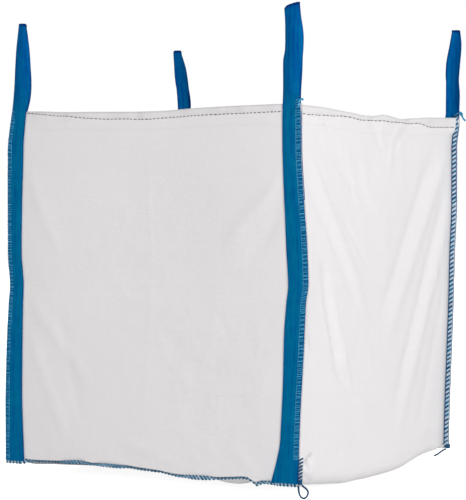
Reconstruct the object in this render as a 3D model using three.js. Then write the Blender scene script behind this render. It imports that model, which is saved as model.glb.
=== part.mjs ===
// Bulk bag (flexible intermediate bulk container), empty and standing on its base.
//
// One long cloth makes the two side walls and the base (the U-panel); a front and a back
// panel close it. The seam allowances stand outward as fins along the four upright corners
// and under the front and back edges, bound by an overlock seam. A webbing strap runs up the
// outside of each corner, rises above the hem as a lifting loop and comes back down inside.
// Each loop swings about a line just above the hem, where the webbing bends.
//
// Millimetres, +Z up, front panel towards -Y, origin under the centre of the base.
import * as THREE from 'three';

// ---- Driving dimensions ----
const HALF = 445.5; // half the distance between two upright seams
const FIN = 16; // seam allowance standing out past the seam line
const SEAM_Z = 54; // height of the bottom seam line above the lowest part of the base
const HEM_Z = 988; // top edge at the corners
const CLOTH = 2; // panel thickness, coating and weave together
const WEB_WIDTH = 65;
const WEB_THICK = 2;
const GAP = 0.3; // clearance between layers that lie on each other
const HEM_DEPTH = 25; // hem stitch line below the top edge
const HEM_SAG_FRONT = 10; // how far the top edge dips between corners
const HEM_SAG_SIDE = 12;
const PANEL_BOW = 12; // how far an empty wall leans inward at its middle
const WALL_BOW = 14;
const FOLD_RADIUS = { seam: 10, middle: 65 }; // wall-to-base fold of the U-panel
const EDGE_DROP = 0.75; // share of the base's sag reached at the wall fold
const FLAT_SHARE = 1.08; // above 1, the middle of the base is flat where it rests
const STRAP_END_Z = 745; // where the webbing's return leg ends inside the bag
const LEG_ROOM_Z = [700, 740]; // the panel steps out here to make room for that leg
const SEWN_TOP_Z = 1012; // top of the corner seams, above the hem
const LOOP_START_Z = 1017.5;
const LOOP_CROWN = { width: 42, flat: 16, shift: 5 };
const BINDING = { thick: 1.2, cover: 13 }; // overlock seam, drawn as a folded strip
const STITCH = { height: 1.4, thick: 1 }; // chain stitch along the hem
const TAIL_DIAMETER = 4.8; // chained thread left at a seam's end

const LAYER = CLOTH / 2 + GAP + WEB_THICK / 2; // from one layer's middle to the next
const FIN_EDGE = HALF + FIN;
const FIN_Z = SEAM_Z - FIN;
const STRAP_INNER = FIN_EDGE - WEB_WIDTH;
const BINDING_STANDOFF = WEB_THICK / 2 + GAP + BINDING.thick / 2;

// A loop that is lower is also wider open, because the webbing is the same length.
const CORNERS = [
  { name: 'front_left', sx: -1, sy: -1, rise: 240, spread: 25 },
  { name: 'front_right', sx: 1, sy: -1, rise: 256, spread: 18 },
  { name: 'back_left', sx: -1, sy: 1, rise: 224, spread: 31 },
  { name: 'back_right', sx: 1, sy: 1, rise: 256, spread: 18 },
];

// ---- Materials ----
const material = (color, roughness) => new THREE.MeshStandardMaterial({ color, roughness, metalness: 0 });
const cloth = material(0xf0eeef, 0.75);
const webbing = material(0x0a5a99, 0.7);
const overlock = material(0x2b7dbb, 0.8);
const hemThread = material(0x4a4a52, 0.8);

// ---- Form of the bag ----
const clamp01 = (t) => Math.min(1, Math.max(0, t));
const rise = (z) => clamp01((z - SEAM_Z) / (HEM_Z - SEAM_Z));

/** Share of the full inward lean at a height: none at the base, most at two thirds. */
const leanAt = (z) => Math.sin(Math.PI * 0.75 * rise(z));

/** Distance of the front or back panel's middle layer from the centre plane. */
function panelDepth(x, z) {
  const across = Math.max(0, 1 - (x / STRAP_INNER) ** 2) ** 2;
  const room = LAYER * clamp01((z - LEG_ROOM_Z[0]) / (LEG_ROOM_Z[1] - LEG_ROOM_Z[0]));
  return HALF + LAYER + room - PANEL_BOW * across * leanAt(z);
}

/** Distance of a side wall's middle layer from the centre plane. */
const wallDepth = (y, z) => HALF - WALL_BOW * (1 - (y / HALF) ** 2) * leanAt(z);

const panelTop = (x) => HEM_Z - HEM_SAG_FRONT * Math.max(0, 1 - (x / HALF) ** 2);
const wallTop = (y) => HEM_Z - HEM_SAG_SIDE * Math.max(0, 1 - (y / HALF) ** 2);

/** Height of the base's middle layer: a shallow dish with a flat middle. */
function baseHeight(x, y) {
  const lengthwise = EDGE_DROP + (1 - EDGE_DROP) * (1 - (x / HALF) ** 2);
  const drop = Math.min(1, FLAT_SHARE * lengthwise * (1 - (y / HALF) ** 2));
  return CLOTH / 2 + (SEAM_Z - CLOTH / 2) * (1 - drop);
}

// ---- Building closed sheets ----
const spaced = (from, to, count) => Array.from({ length: count + 1 }, (_, i) => from + ((to - from) * i) / count);

function signedVolume(positions, index) {
  const corner = (i) => new THREE.Vector3().fromArray(positions, index[i] * 3);
  let volume = 0;
  for (let i = 0; i < index.length; i += 3) {
    volume += corner(i).dot(corner(i + 1).cross(corner(i + 2))) / 6;
  }
  return volume;
}

/** A closed sheet from rows of { point, normal }, thickened evenly about its middle layer. */
function thickSheet(rows, thickness) {
  const across = rows[0].length;
  const positions = [];
  for (const side of [0.5, -0.5]) {
    for (const { point, normal } of rows.flat()) {
      positions.push(...point.clone().addScaledVector(normal, side * thickness).toArray());
    }
  }
  const at = (side, i, j) => side * rows.length * across + i * across + j;
  const index = [];
  const quad = (a, b, c, d) => index.push(a, b, c, a, c, d);
  for (let i = 0; i < rows.length - 1; i++) {
    for (let j = 0; j < across - 1; j++) {
      quad(at(0, i, j), at(0, i + 1, j), at(0, i + 1, j + 1), at(0, i, j + 1));
      quad(at(1, i, j), at(1, i, j + 1), at(1, i + 1, j + 1), at(1, i + 1, j));
    }
    quad(at(0, i, 0), at(1, i, 0), at(1, i + 1, 0), at(0, i + 1, 0));
    quad(at(0, i, across - 1), at(0, i + 1, across - 1), at(1, i + 1, across - 1), at(1, i, across - 1));
  }
  const last = rows.length - 1;
  for (let j = 0; j < across - 1; j++) {
    quad(at(0, 0, j), at(0, 0, j + 1), at(1, 0, j + 1), at(1, 0, j));
    quad(at(0, last, j), at(1, last, j), at(1, last, j + 1), at(0, last, j + 1));
  }
  if (signedVolume(positions, index) < 0) index.reverse();
  const geometry = new THREE.BufferGeometry();
  geometry.setAttribute('position', new THREE.Float32BufferAttribute(positions, 3));
  geometry.setIndex(index);
  geometry.computeVertexNormals();
  return geometry;
}

const bag = new THREE.Group();

function add(name, geometry, surface) {
  const mesh = new THREE.Mesh(geometry, surface);
  mesh.name = name;
  bag.add(mesh);
}

// ---- U-panel: right wall, base and left wall in one cloth ----
/** Middle-layer points of the U-panel along one line at a fixed y, in the XZ plane. */
function uPanelLine(y) {
  const share = 1 - (y / HALF) ** 2;
  const radius = FOLD_RADIUS.seam + (FOLD_RADIUS.middle - FOLD_RADIUS.seam) * share;
  const foldX = wallDepth(y, SEAM_Z + radius) - radius;
  const foldZ = baseHeight(foldX, y) + radius;
  const top = wallTop(y);
  const half = [new THREE.Vector2(wallDepth(y, top), top)];
  for (const z of spaced(top - HEM_DEPTH, foldZ, 8)) half.push(new THREE.Vector2(wallDepth(y, z), z));
  for (const turn of spaced(0, Math.PI / 2, 4).slice(1)) {
    half.push(new THREE.Vector2(foldX + radius * Math.cos(turn), foldZ - radius * Math.sin(turn)));
  }
  for (const x of spaced(foldX, 0, 5).slice(1)) half.push(new THREE.Vector2(x, baseHeight(x, y)));
  const mirrored = half.slice(0, -1).reverse();
  return [...half, ...mirrored.map((p) => new THREE.Vector2(-p.x, p.y))];
}

/** Outward normal of a line of points at index i, turned a quarter from its direction. */
function lineNormal(line, i) {
  const ahead = line[Math.min(i + 1, line.length - 1)];
  const behind = line[Math.max(i - 1, 0)];
  const along = ahead.clone().sub(behind).normalize();
  return new THREE.Vector2(-along.y, along.x);
}

function uPanel() {
  const lines = spaced(-HALF, HALF, 10).map((y) => ({ y, line: uPanelLine(y) }));
  const rows = lines[0].line.map((_, i) => {
    const row = lines.map(({ y, line }) => {
      const normal = lineNormal(line, i);
      return {
        point: new THREE.Vector3(line[i].x, y, line[i].y),
        normal: new THREE.Vector3(normal.x, 0, normal.y),
      };
    });
    const finAt = (corner, inward) => {
      const tip = corner.point.clone().addScaledVector(corner.normal, FIN);
      corner.normal.y = inward;
      return { point: tip, normal: new THREE.Vector3(0, inward, 0) };
    };
    return [finAt(row[0], 1), ...row, finAt(row[row.length - 1], -1)];
  });
  add('u_panel', thickSheet(rows, CLOTH), cloth);
}

// ---- Front and back panels ----
const PANEL_COLUMNS = [-FIN_EDGE, -HALF, ...spaced(-STRAP_INNER, STRAP_INNER, 8), HALF, FIN_EDGE];
const STATIONS = [FIN_Z, 66, 150, 260, 370, 480, 590, LEG_ROOM_Z[0], LEG_ROOM_Z[1], 850];

function panel(name, sy) {
  const outward = new THREE.Vector3(0, sy, 0);
  const column = (x) => {
    const top = panelTop(x);
    const heights = [...STATIONS, top - HEM_DEPTH, top];
    return heights.map((z) => ({ point: new THREE.Vector3(x, sy * panelDepth(x, z), z), normal: outward }));
  };
  add(name, thickSheet(PANEL_COLUMNS.map(column), CLOTH), cloth);
}

// ---- Webbing: full-height outer strap, inner return leg and lifting loop ----
/** One flat leg of webbing lying on a panel, offset outward by some layers. */
function leg(name, { sx, sy }, heights, layers) {
  const normal = new THREE.Vector3(0, sy, 0);
  const rows = heights.map((z) =>
    [STRAP_INNER, FIN_EDGE].map((x) => ({
      point: new THREE.Vector3(sx * x, sy * (panelDepth(FIN_EDGE, z) + layers * LAYER), z),
      normal,
    })),
  );
  add(name, thickSheet(rows, WEB_THICK), webbing);
}

/** Loop outline above the sewn legs: [offset from the webbing's middle, height]. */
function loopLine(crownZ, spread) {
  const height = crownZ - LOOP_START_Z;
  const shape = [
    [LAYER, 0],
    [LAYER + 1, 0.07],
    [0.5 * spread, 0.28],
    [0.9 * spread, 0.52],
    [spread, 0.72],
    [0.84 * spread, 0.9],
    [0.5 * (spread + LOOP_CROWN.flat / 2), 0.975],
    [LOOP_CROWN.flat / 2, 1],
  ];
  const points = shape.map(([offset, share]) => new THREE.Vector2(-offset, LOOP_START_Z + share * height));
  const side = new THREE.SplineCurve(points).getPoints(14);
  return [...side, ...side.map((p) => new THREE.Vector2(-p.x, p.y)).reverse()];
}

function loop({ name, sx, sy, rise: loopRise, spread }) {
  const crownZ = HEM_Z + loopRise - WEB_THICK / 2;
  const line = loopLine(crownZ, spread);
  const middleY = panelDepth(FIN_EDGE, HEM_Z);
  const rows = line.map((p, i) => {
    const share = clamp01((p.y - LOOP_START_Z) / (crownZ - LOOP_START_Z));
    const width = WEB_WIDTH + (LOOP_CROWN.width - WEB_WIDTH) * share;
    const middleX = FIN_EDGE - WEB_WIDTH / 2 - LOOP_CROWN.shift * share;
    const out = lineNormal(line, i);
    return [-0.5, 0.5].map((across) => ({
      point: new THREE.Vector3(sx * (middleX + across * width), sy * (middleY + p.x), p.y),
      normal: new THREE.Vector3(0, sy * out.x, out.y),
    }));
  });
  add(`loop_${name}`, thickSheet(rows, WEB_THICK), webbing);
}

// ---- Overlock seams: a strip folded round the edge of the fin ----
/** Fold a strip round an edge at each station; `place(along, outward, depth)` gives a point. */
function binding(name, stations, edge, depthAt, place) {
  const half = BINDING.thick / 2;
  const tip = edge + GAP + half;
  const inner = HALF - CLOTH / 2 - GAP - half;
  const origin = place(0, 0, 0);
  const rows = stations.map((along) => {
    const outer = depthAt(along) + LAYER + BINDING_STANDOFF;
    const outline = [
      [tip - BINDING.cover, outer, 0, 1],
      [tip, outer, 1, 1],
      [tip, inner, 1, -1],
      [tip - BINDING.cover, inner, 0, -1],
    ];
    return outline.map(([outward, depth, out, deep]) => ({
      point: place(along, outward, depth),
      normal: place(0, out, deep).sub(origin),
    }));
  });
  add(name, thickSheet(rows, BINDING.thick), overlock);
}

function sideBinding({ name, sx, sy }) {
  const stations = [66, ...STATIONS.slice(2), SEWN_TOP_Z];
  binding(`overlock_${name}`, stations, FIN_EDGE, (z) => panelDepth(FIN_EDGE, z), (z, outward, depth) =>
    new THREE.Vector3(sx * outward, sy * depth, z));
}

function bottomBinding(name, sy) {
  const reach = HALF - FOLD_RADIUS.seam - 2;
  // Distances outward run down from the seam line, so height is the sum less the distance.
  binding(`overlock_${name}_bottom`, spaced(-reach, reach, 12), FIN, () => panelDepth(FIN_EDGE, FIN_Z),
    (x, outward, depth) => new THREE.Vector3(x, sy * depth, SEAM_Z - outward));
}

// ---- Chain stitch along the hem ----
function hemStitch(name, line, outward) {
  const standoff = CLOTH / 2 + GAP + STITCH.thick / 2;
  const rows = line.map((point) =>
    [-0.5, 0.5].map((up) => ({
      point: point.clone().addScaledVector(outward, standoff).add(new THREE.Vector3(0, 0, up * STITCH.height)),
      normal: outward,
    })),
  );
  add(name, thickSheet(rows, STITCH.thick), hemThread);
}

function hemStitches() {
  for (const [side, sy] of [['front', -1], ['back', 1]]) {
    const line = PANEL_COLUMNS.slice(2, -2).map((x) => {
      const z = panelTop(x) - HEM_DEPTH;
      const inset = x - Math.sign(x) * (Math.abs(x) === STRAP_INNER ? 1 : 0);
      return new THREE.Vector3(inset, sy * panelDepth(x, z), z);
    });
    hemStitch(`hem_stitch_${side}`, line, new THREE.Vector3(0, sy, 0));
  }
  for (const [side, sx] of [['left', -1], ['right', 1]]) {
    const line = spaced(-HALF, HALF, 10).slice(1, -1).map((y) => {
      const z = wallTop(y) - HEM_DEPTH;
      return new THREE.Vector3(sx * wallDepth(y, z), y, z);
    });
    hemStitch(`hem_stitch_${side}`, line, new THREE.Vector3(sx, 0, 0));
  }
}

// ---- Thread tails left at the ends of the overlock seams ----
function tail(name, points) {
  const path = new THREE.CatmullRomCurve3(points.map((p) => new THREE.Vector3(...p)));
  const section = new THREE.Shape(
    spaced(0, 2 * Math.PI, 8).slice(0, -1).map((turn) =>
      new THREE.Vector2((Math.cos(turn) * TAIL_DIAMETER) / 2, (Math.sin(turn) * TAIL_DIAMETER) / 2)),
  );
  const steps = Math.round(path.getLength() / (2 * TAIL_DIAMETER));
  add(name, new THREE.ExtrudeGeometry(section, { steps, extrudePath: path }), overlock);
}

function threadTails() {
  // A teardrop of chained thread under the front right corner, back into the seam it left.
  tail('thread_tail_front_right_bottom', [
    [459.6, -451.1, 35.4], [460.4, -450.6, 29], [461, -450.2, 21.6], [462.5, -449.3, 14.1], [466.5, -446.9, 7],
    [471.9, -443.7, 4.4], [477, -440.7, 7.4], [480.6, -438.5, 14.6], [480.8, -438.4, 21.2], [477.6, -440.3, 27.4],
    [472, -443.6, 32.9], [467.8, -446.2, 37],
  ]);
  // A bare tail slanting down under the base from the back right corner.
  tail('thread_tail_back_right_bottom', [
    [452, 448.6, 35.2], [446.5, 444.9, 33.2], [440.4, 441.3, 28.6], [432.9, 436.8, 22.1], [428, 434, 19],
    [423, 430.9, 16.9],
  ]);
  // Short tufts where the upright seams end above the hem, clear of the loops' swing.
  tail('thread_tail_front_right_top', [
    [465.8, -451.6, 999.4], [467.2, -457, 1001], [466.8, -463, 999.2], [466.2, -468.2, 995.6],
    [466, -471.8, 990.4], [466, -472.6, 983.6],
  ]);
  tail('thread_tail_back_right_top', [
    [465.8, 447.5, 996], [466.6, 441, 999], [465.4, 435.6, 1003], [468.6, 433.4, 1005.4], [472.4, 436.4, 1001.4],
    [472.2, 440, 993.5], [472.6, 444.5, 988], [474.4, 449.6, 984], [476, 453.4, 981.5],
  ]);
}

// ---- The whole bag ----
uPanel();
panel('front_panel', -1);
panel('back_panel', 1);
for (const corner of CORNERS) {
  leg(`strap_${corner.name}`, corner, [...STATIONS, SEWN_TOP_Z], 1);
  leg(`strap_end_${corner.name}`, corner, [STRAP_END_Z, 850, SEWN_TOP_Z], -1);
  loop(corner);
  sideBinding(corner);
}
bottomBinding('front', -1);
bottomBinding('back', 1);
hemStitches();
threadTails();

export default bag;
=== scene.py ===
"""Bulk bag: woven cloth, blue webbing, overlocked corners and a stitched hem, built round the CAD frame.

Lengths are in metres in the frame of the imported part: +Z up, front towards -Y, origin under the middle.
"""

import math

import bpy
import numpy as np
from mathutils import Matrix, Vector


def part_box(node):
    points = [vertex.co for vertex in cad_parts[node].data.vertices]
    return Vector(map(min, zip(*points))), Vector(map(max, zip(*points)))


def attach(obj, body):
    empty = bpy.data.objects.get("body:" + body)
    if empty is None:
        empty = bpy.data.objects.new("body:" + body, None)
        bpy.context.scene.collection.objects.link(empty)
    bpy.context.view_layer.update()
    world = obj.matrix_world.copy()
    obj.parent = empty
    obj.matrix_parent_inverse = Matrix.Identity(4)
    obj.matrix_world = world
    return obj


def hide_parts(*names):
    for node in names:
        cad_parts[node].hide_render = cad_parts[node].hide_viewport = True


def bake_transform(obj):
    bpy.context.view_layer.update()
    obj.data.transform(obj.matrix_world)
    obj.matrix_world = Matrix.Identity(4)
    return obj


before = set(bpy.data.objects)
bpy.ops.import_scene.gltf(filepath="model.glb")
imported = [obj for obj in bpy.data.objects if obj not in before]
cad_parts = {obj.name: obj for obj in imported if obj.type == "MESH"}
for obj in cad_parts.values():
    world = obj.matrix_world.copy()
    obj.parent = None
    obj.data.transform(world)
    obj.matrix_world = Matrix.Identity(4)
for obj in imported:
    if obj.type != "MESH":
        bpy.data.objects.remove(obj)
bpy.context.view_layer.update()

# ---- Sizes, taken from the CAD pieces ----
PANEL_LOW, PANEL_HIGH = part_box("front_panel")
FIN = 0.016  # how far the seams stand out from the walls
FIN_EDGE = PANEL_HIGH.x
HALF = FIN_EDGE - FIN
CLOTH_EDGE = FIN_EDGE - 0.0018  # the cloth ends just inside the threads that wrap the fins
HEM_Z = PANEL_HIGH.z
FIN_Z = PANEL_LOW.z
SEAM_Z = FIN_Z + FIN
STRAP_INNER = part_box("strap_front_right")[0].x
STRAP_END_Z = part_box("strap_end_front_right")[0].z
PANEL_Y = 0.4501  # cloth line of the front and back panel at the seams
FLANGE_Y = HALF - 0.0005  # cloth line of the U-panel in the seams
CLOTH = 0.0011
WEB = 0.0018
HEM_FOLD = 0.046  # depth of the hem turned in at the top
HEM_TURN = 0.0017  # radius of that turn
SEWN_TOP_Z = 1.012  # the corner seams run on up the loops to here
THREAD_PITCH = 0.0125
TAIL_DIAMETER = 0.0048
CHAIN_PITCH = 0.0075  # length of one turn of the tails' yarns
YARN_RADIUS = 0.0014
LOOPER_RADIUS = 0.00085
FINE_RADIUS = 0.0008
HEM_THREAD_RADIUS = 0.0009
LEG_GAP = 0.0026  # half the distance between a loop's legs at the hem
BLEND_FROM, BLEND_TO = 0.014, 0.056  # heights above the hem; points over each loop's middle are worked out at these, and not used further

# ---- The weaves ----
TAPE = 0.0026  # width of the cloth's woven tapes
RIB = 0.0031  # width of the webbing's ribs

# ---- Camera ----
scene = bpy.context.scene
VIEW_TURN = math.radians(30.84)
camera_data = bpy.data.cameras.new("camera")
camera_data.lens = 144.9
camera_data.clip_end = 60
camera = bpy.data.objects.new("camera", camera_data)
camera.location = (2.8777, -4.8501, 0.7236)
camera.rotation_euler = (math.radians(90 - 1.122), 0, VIEW_TURN)
scene.collection.objects.link(camera)
scene.camera = camera


# ---- Materials ----
class Nodes:
    """Short calls for building one material's node tree."""

    def __init__(self, name):
        self.material = bpy.data.materials.new(name)
        self.material.use_nodes = True
        self.tree = self.material.node_tree
        self.shader = self.tree.nodes["Principled BSDF"]

    def add(self, kind, **settings):
        node = self.tree.nodes.new(kind)
        for key, value in settings.items():
            setattr(node, key, value)
        return node

    def feed(self, socket, value):
        if isinstance(value, bpy.types.NodeSocket):
            self.tree.links.new(value, socket)
        else:
            socket.default_value = value

    def math(self, operation, *values):
        node = self.add("ShaderNodeMath", operation=operation)
        for socket, value in zip(node.inputs, values):
            self.feed(socket, value)
        return node.outputs[0]

    def plus(self, a, b):
        return self.math("ADD", a, b)

    def times(self, a, b):
        return self.math("MULTIPLY", a, b)

    def place_on_cloth(self):
        """(across, along, shade), as each mesh has them in its attribute."""
        return self.add("ShaderNodeAttribute", attribute_name="cloth").outputs["Vector"]

    def split(self, vector):
        node = self.add("ShaderNodeSeparateXYZ")
        self.feed(node.inputs[0], vector)
        return node.outputs

    def noise(self, vector, scale, detail):
        node = self.add("ShaderNodeTexNoise")
        self.feed(node.inputs["Vector"], vector)
        node.inputs["Scale"].default_value = scale
        node.inputs["Detail"].default_value = detail
        return node.outputs["Fac"]

    def ramp(self, factor, stops):
        node = self.add("ShaderNodeValToRGB")
        self.feed(node.inputs[0], factor)
        elements = node.color_ramp.elements
        while len(elements) < len(stops):
            elements.new(0.5)
        for element, (position, colour) in zip(elements, stops):
            element.position = position
            element.color = (*colour, 1)
        return node.outputs[0]

    def between(self, value, low, high, start=0.0, end=1.0):
        """`value` from start to end, turned into low to high."""
        node = self.add("ShaderNodeMapRange")
        self.feed(node.inputs[0], value)
        node.inputs["From Min"].default_value = start
        node.inputs["From Max"].default_value = end
        node.inputs["To Min"].default_value = low
        node.inputs["To Max"].default_value = high
        return node.outputs[0]

    def surface(self, colour, roughness, specular):
        inputs = self.shader.inputs
        self.feed(inputs["Base Color"], colour)
        self.feed(inputs["Roughness"], roughness)
        self.feed(inputs["Specular IOR Level"], specular)

    def bump(self, height, distance, strength):
        node = self.add("ShaderNodeBump")
        node.inputs["Strength"].default_value = strength
        node.inputs["Distance"].default_value = distance
        self.feed(node.inputs["Height"], height)
        self.tree.links.new(node.outputs[0], self.shader.inputs["Normal"])

    def strip_value(self, coordinate, pitch):
        """One random value for each strip that is `pitch` wide."""
        strip = self.math("FLOOR", self.math("DIVIDE", coordinate, pitch))
        node = self.add("ShaderNodeTexWhiteNoise", noise_dimensions="1D")
        self.feed(node.inputs["W"], strip)
        return node.outputs["Value"]

    def weave(self, u, v, pitch_u, pitch_v):
        """Height of a plain weave, from -1 to 1."""
        across = self.math("SINE", self.times(u, math.pi / pitch_u))
        up = self.math("SINE", self.times(v, math.pi / pitch_v))
        return self.times(across, up)


def cloth_material():
    n = Nodes("woven_cloth")
    place = n.place_on_cloth()
    u, v, shade = n.split(place)
    tapes = n.times(n.plus(n.strip_value(u, TAPE), n.strip_value(v, TAPE)), 0.5)
    soil = n.noise(place, 5.0, 3.0)
    fleck = n.noise(place, 55.0, 2.0)
    tone = n.plus(n.times(tapes, 0.18), n.times(soil, 0.55))
    tone = n.plus(tone, n.times(fleck, 0.12))
    tone = n.plus(n.times(tone, 0.5), 0.5)
    # Painted shade from the attribute's third value: darker over the hem and along the fold at its top, and
    # in the right wall's creases.
    tone = n.math("SUBTRACT", tone, n.times(shade, 0.5))
    greys = [(0.0, (0.56, 0.545, 0.56)), (0.575, (0.79, 0.772, 0.782)), (0.925, (0.85, 0.832, 0.842))]
    n.surface(n.ramp(tone, greys), n.between(tapes, 0.5, 0.64), 0.35)
    height = n.plus(n.weave(u, v, TAPE, TAPE), n.times(tapes, 0.5))
    n.bump(height, 0.00022, 0.7)
    return n.material


def webbing_material():
    n = Nodes("blue_webbing")
    place = n.place_on_cloth()
    u, v, edge = n.split(place)
    ribs = n.strip_value(u, RIB)
    wear = n.noise(place, 38.0, 3.0)
    # Long streaks, bluer and greener, as the warp yarns of webbing take dye unevenly.
    stretched = n.add("ShaderNodeVectorMath", operation="MULTIPLY")
    n.feed(stretched.inputs[0], place)
    stretched.inputs[1].default_value = (1.0, 0.12, 0.0)
    streak = n.noise(stretched.outputs[0], 120.0, 2.0)
    tone = n.plus(n.times(ribs, 0.22), n.times(wear, 0.3))
    tone = n.plus(tone, n.times(streak, 0.5))
    # Painted shade from the attribute's third value: darker along the webbing's edges and on the crown's top.
    tone = n.math("SUBTRACT", tone, n.times(edge, 0.7))
    # The loops are coloured a little darker and bluer than the sewn length.
    strap = [
        (0.0, (0.0001, 0.02, 0.12)), (0.3, (0.0001, 0.088, 0.27)), (0.5, (0.0002, 0.138, 0.315)),
        (0.8, (0.0004, 0.185, 0.335)),
    ]
    loop = [
        (0.0, (0.0001, 0.016, 0.12)), (0.3, (0.0001, 0.066, 0.28)), (0.5, (0.0002, 0.108, 0.335)),
        (0.8, (0.0004, 0.155, 0.36)),
    ]
    mixed = n.add("ShaderNodeMix", data_type="RGBA")
    n.feed(mixed.inputs["Factor"], n.between(v, 0.0, 1.0, start=0.93, end=1.06))
    n.feed(mixed.inputs[6], n.ramp(tone, strap))
    n.feed(mixed.inputs[7], n.ramp(tone, loop))
    n.surface(mixed.outputs[2], n.between(wear, 0.62, 0.8), 0.008)
    rib = n.math("ABSOLUTE", n.math("SINE", n.times(u, math.pi / RIB)))
    height = n.plus(n.times(rib, 0.6), n.weave(u, v, RIB / 2, 0.0021))
    n.bump(height, 0.00035, 0.8)
    return n.material


def thread_material(name, dark, light):
    n = Nodes(name)
    place = n.add("ShaderNodeTexCoord").outputs["Object"]
    tone = n.noise(place, 260.0, 2.0)
    n.surface(n.ramp(tone, [(0.3, dark), (0.7, light)]), 0.6, 0.3)
    n.bump(n.noise(place, 900.0, 1.0), 0.0006, 0.8)
    return n.material


CLOTH_MATERIAL = cloth_material()
WEBBING_MATERIAL = webbing_material()
YARN_MATERIAL = thread_material("overlock_blue", (0.0005, 0.05, 0.125), (0.002, 0.115, 0.26))
FINE_MATERIAL = thread_material("fine_blue", (0.001, 0.115, 0.26), (0.004, 0.21, 0.42))
LOOPER_MATERIAL = thread_material("looper_blue", (0.006, 0.24, 0.48), (0.12, 0.52, 0.8))
PALE_MATERIAL = thread_material("pale_blue", (0.22, 0.56, 0.82), (0.5, 0.78, 0.95))
TAIL_MATERIAL = thread_material("tail_navy", (0.001, 0.02, 0.07), (0.002, 0.055, 0.16))
HEM_MATERIAL = thread_material("hem_grey", (0.045, 0.042, 0.055), (0.12, 0.112, 0.14))


# ---- Helpers ----
def smooth(t):
    t = np.clip(t, 0.0, 1.0)
    return t * t * (3.0 - 2.0 * t)


def hump(t):
    """A smooth bump, 1 high, round t = 0."""
    return np.exp(-(t**2))


def joined(*parts):
    """Points from their separate parts, each a number or an array."""
    return np.stack(np.broadcast_arrays(*parts), -1)


def distances(path):
    """How far along a path each of its points is."""
    return np.concatenate([[0], np.cumsum(np.linalg.norm(np.diff(path, axis=0), axis=1))])


def along(table, value):
    """Values of a short table at `value`, joined by curves that don't overshoot."""
    rows = np.array(table, float)
    at, known = rows[:, 0], rows[:, 1:]
    step = np.diff(at)[:, None]
    slope = np.diff(known, axis=0) / step
    before, after = slope[:-1], slope[1:]
    inner = np.where(after * before > 0, 2 * after * before / (after + before + 1e-12), 0)
    tangent = np.vstack([slope[:1], inner, slope[-1:]])
    value = np.clip(value, at[0], at[-1])
    i = np.clip(np.searchsorted(at, value) - 1, 0, len(at) - 2)
    t = ((value - at[i]) / (at[i + 1] - at[i]))[..., None]
    span = step[i]
    near = (1 + 2 * t) * (1 - t) ** 2 * known[i] + t * (1 - t) ** 2 * span * tangent[i]
    far = t * t * (3 - 2 * t) * known[i + 1] + t * t * (t - 1) * span * tangent[i + 1]
    found = near + far
    return found[..., 0] if found.shape[-1] == 1 else found


def noise(u, v, cell, seed):
    """Smooth random field from -1 to 1 with features `cell` across."""
    size = 61
    table = np.random.default_rng(seed).uniform(-1, 1, (size, size))
    p, q = u / cell + 200.0, v / cell + 200.0
    i, j = np.floor(p).astype(int), np.floor(q).astype(int)
    s, t = smooth(p - i), smooth(q - j)
    a, b = i % size, j % size
    a1, b1 = (i + 1) % size, (j + 1) % size
    low = table[a, b] * (1 - s) + table[a1, b] * s
    high = table[a, b1] * (1 - s) + table[a1, b1] * s
    return low * (1 - t) + high * t


CRISP = True


def folds(u, v, table):
    """Sum of ridges and, where the height is negative, hollows, each tapered at both ends.

    A row holds u and v at the start, u and v at the end, width, height and CRISP for a crisp crest."""
    total = 0.0
    for u0, v0, u1, v1, width, height, *crisp in table:
        du, dv = u1 - u0, v1 - v0
        length = math.hypot(du, dv)
        t = ((u - u0) * du + (v - v0) * dv) / length**2
        side = ((u - u0) * dv - (v - v0) * du) / length
        across = np.exp(-np.abs(side) / width) if crisp else hump(side / width)
        total = total + height * across * (smooth(t / 0.25) * smooth((1 - t) / 0.25))
    return total


def crumple(u, v, seed, size):
    """Shallow dents with soft ridges between them, as packed cloth keeps."""
    wu = u + 0.02 * noise(u, v, 0.11, seed + 1)
    wv = v + 0.02 * noise(u, v, 0.11, seed + 2)
    ridges = 1 - 2 * np.abs(noise(wu + 0.4 * wv, wv, 0.075, seed))
    fine = 1 - 2 * np.abs(noise(wu - 0.3 * wv, wv, 0.03, seed + 3))
    patches = smooth(0.5 + noise(u, v, 0.16, seed + 4))
    broad = 0.0032 * noise(u, v, 0.24, seed + 5)
    return size * (broad + 0.0016 * ridges * patches + 0.0007 * fine * patches)


# ---- How the corners stray from upright, along SWAY_DIRECTION, by height ----
SWAY_DIRECTION = np.array([0.86, 0.51])
SWAY = {
    (1, -1): [
        (0.04, -0.016), (0.18, -0.012), (0.38, -0.002), (0.49, 0.003), (0.54, 0.009), (0.63, 0.006),
        (0.75, -0.002), (0.88, -0.009), (0.99, -0.0095),
    ],
    (-1, -1): [
        (0.04, -0.009), (0.2, -0.009), (0.34, -0.006), (0.47, 0.0), (0.52, 0.004), (0.61, -0.0015),
        (0.88, -0.002), (0.99, 0.009),
    ],
    (1, 1): [
        (0.06, -0.02), (0.18, -0.017), (0.32, -0.012), (0.47, -0.007), (0.61, -0.004), (0.75, 0.001),
        (0.9, 0.001), (0.99, 0.01),
    ],
    (-1, 1): [(0.04, -0.008), (0.3, -0.004), (0.5, 0.002), (0.7, -0.004), (0.99, -0.01)],
}
FOOT_TOP = 0.1  # below here the near corner's fin is bare beside the strap
FLARE = 0.0088
BACK_LEFT_PULL = [(0.4, 0.0), (0.99, -0.036)]  # that corner's top is pulled towards the front


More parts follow.
